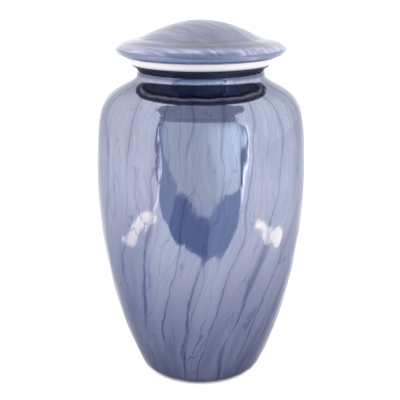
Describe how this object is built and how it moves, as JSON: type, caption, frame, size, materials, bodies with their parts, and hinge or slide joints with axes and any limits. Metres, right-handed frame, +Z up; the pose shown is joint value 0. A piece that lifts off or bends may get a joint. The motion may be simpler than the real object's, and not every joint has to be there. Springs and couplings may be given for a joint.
{
  "type": "funeral urn",
  "caption": "Adult funeral urn: a hollow shouldered vase on a flat base, with a flared metal ring at the mouth and a domed lift-off lid.",
  "frame": {"origin": "centre of the flat base, on the surface that the urn stands on", "axes": "+Z up along the axis it is turned about; +X and +Y are alike, because every piece is round, and the picture looks along +Y"},
  "size_m": [0.1562, 0.1562, 0.2663],
  "materials": {
    "vessel_enamel": "high-gloss tinted enamel, marbled blue-grey and lavender, over bright aluminium",
    "ring_metal": "bare bright aluminium, finely turned",
    "lid_enamel": "high-gloss tinted enamel, marbled as the vessel and a little paler"
  },
  "bodies": {
    "root": {"urn_body": "vessel_enamel", "mouth_ring": "ring_metal", "lid": "lid_enamel"}
  },
  "joints": []
}
